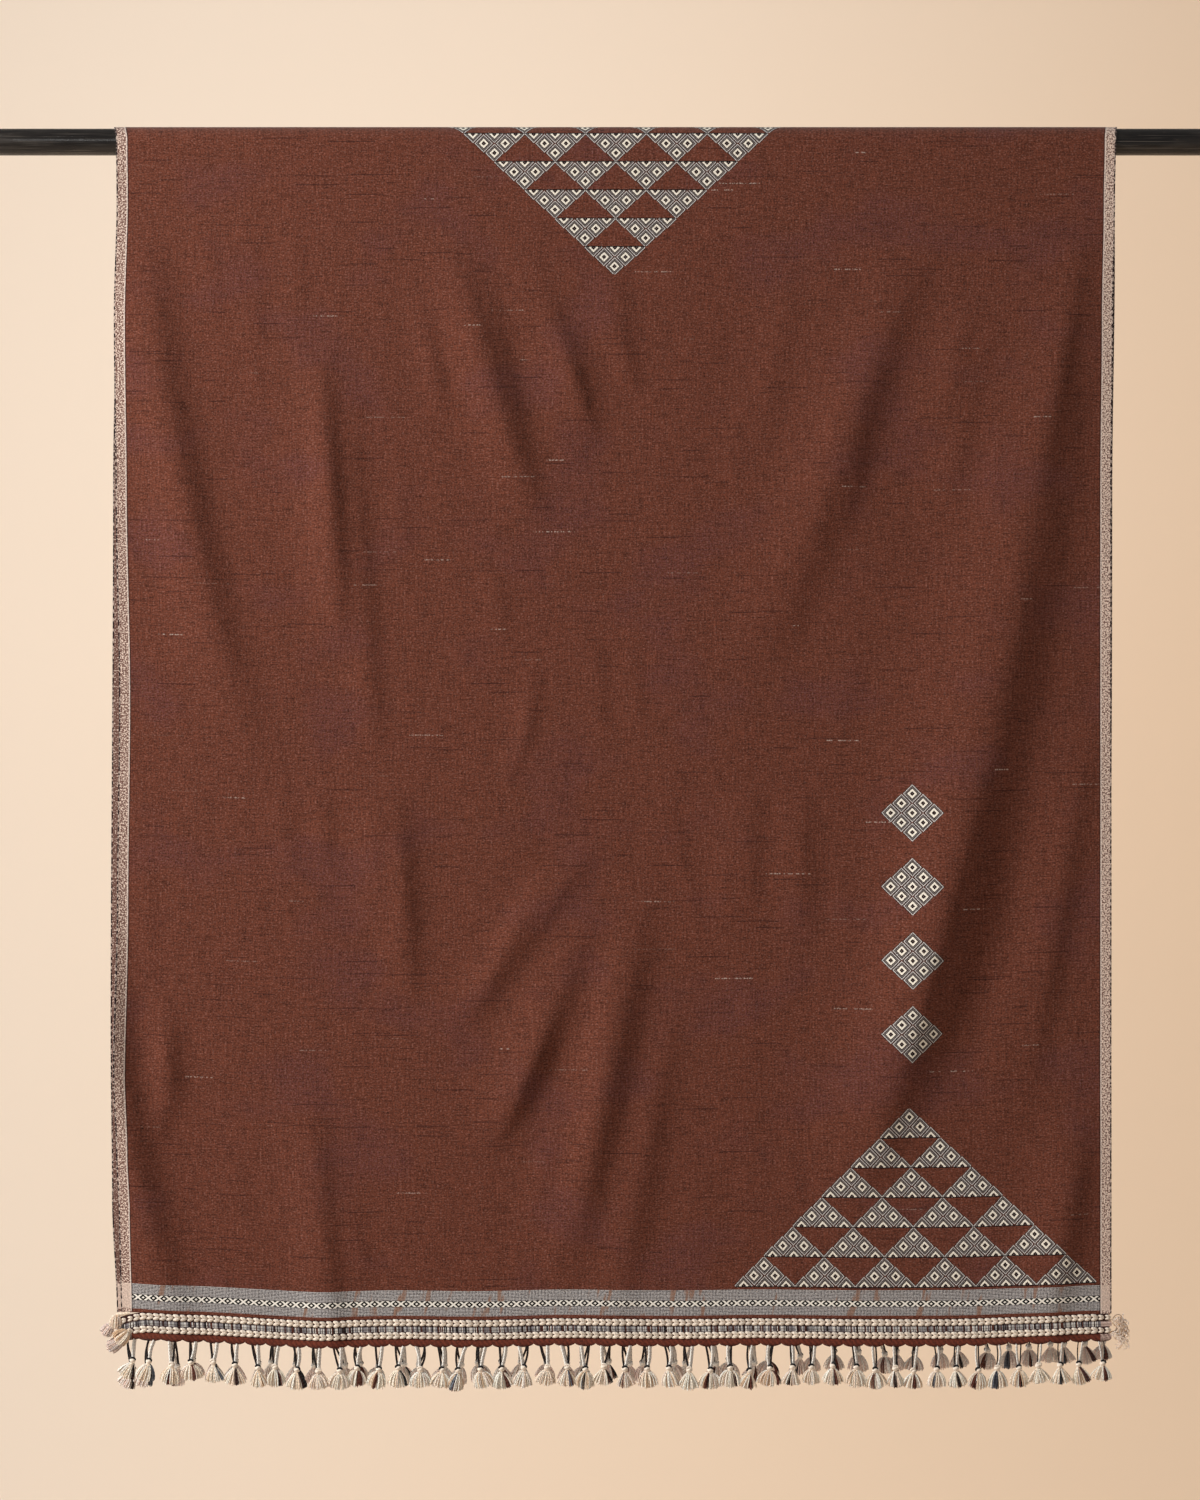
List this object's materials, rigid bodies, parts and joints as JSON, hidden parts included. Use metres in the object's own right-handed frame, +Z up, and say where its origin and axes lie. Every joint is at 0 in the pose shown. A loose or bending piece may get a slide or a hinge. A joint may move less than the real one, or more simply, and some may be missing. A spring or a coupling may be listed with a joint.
{
  "type": "wool shawl hung over a rod",
  "caption": "Fringed handloom wool shawl folded in half over a round horizontal rod, with twined borders and tassels at both ends.",
  "frame": {"origin": "on the rod's axis, at the middle of the shawl's width", "axes": "+X to the right along the rod as seen from the front, +Y to the back, +Z up"},
  "size_m": [1.3, 0.0557, 1.273],
  "materials": {
    "wool_cloth": "matte",
    "cream_yarn": "matte",
    "rib_yarn": "matte",
    "fringe_yarn": "matte",
    "black_pipe": "satin"
  },
  "bodies": {
    "root": {"rod": "black_pipe", "rod_fold": "wool_cloth", "front_fall": "wool_cloth", "front_braid_upper": "cream_yarn", "front_rib_row": "rib_yarn", "front_braid_lower": "cream_yarn", "front_fringe": "fringe_yarn", "front_left_tassels": "fringe_yarn", "front_right_tassels": "fringe_yarn", "back_fall": "wool_cloth", "back_braid_upper": "cream_yarn", "back_rib_row": "rib_yarn", "back_braid_lower": "cream_yarn", "back_fringe": "fringe_yarn", "back_left_tassels": "fringe_yarn", "back_right_tassels": "fringe_yarn"}
  },
  "joints": []
}
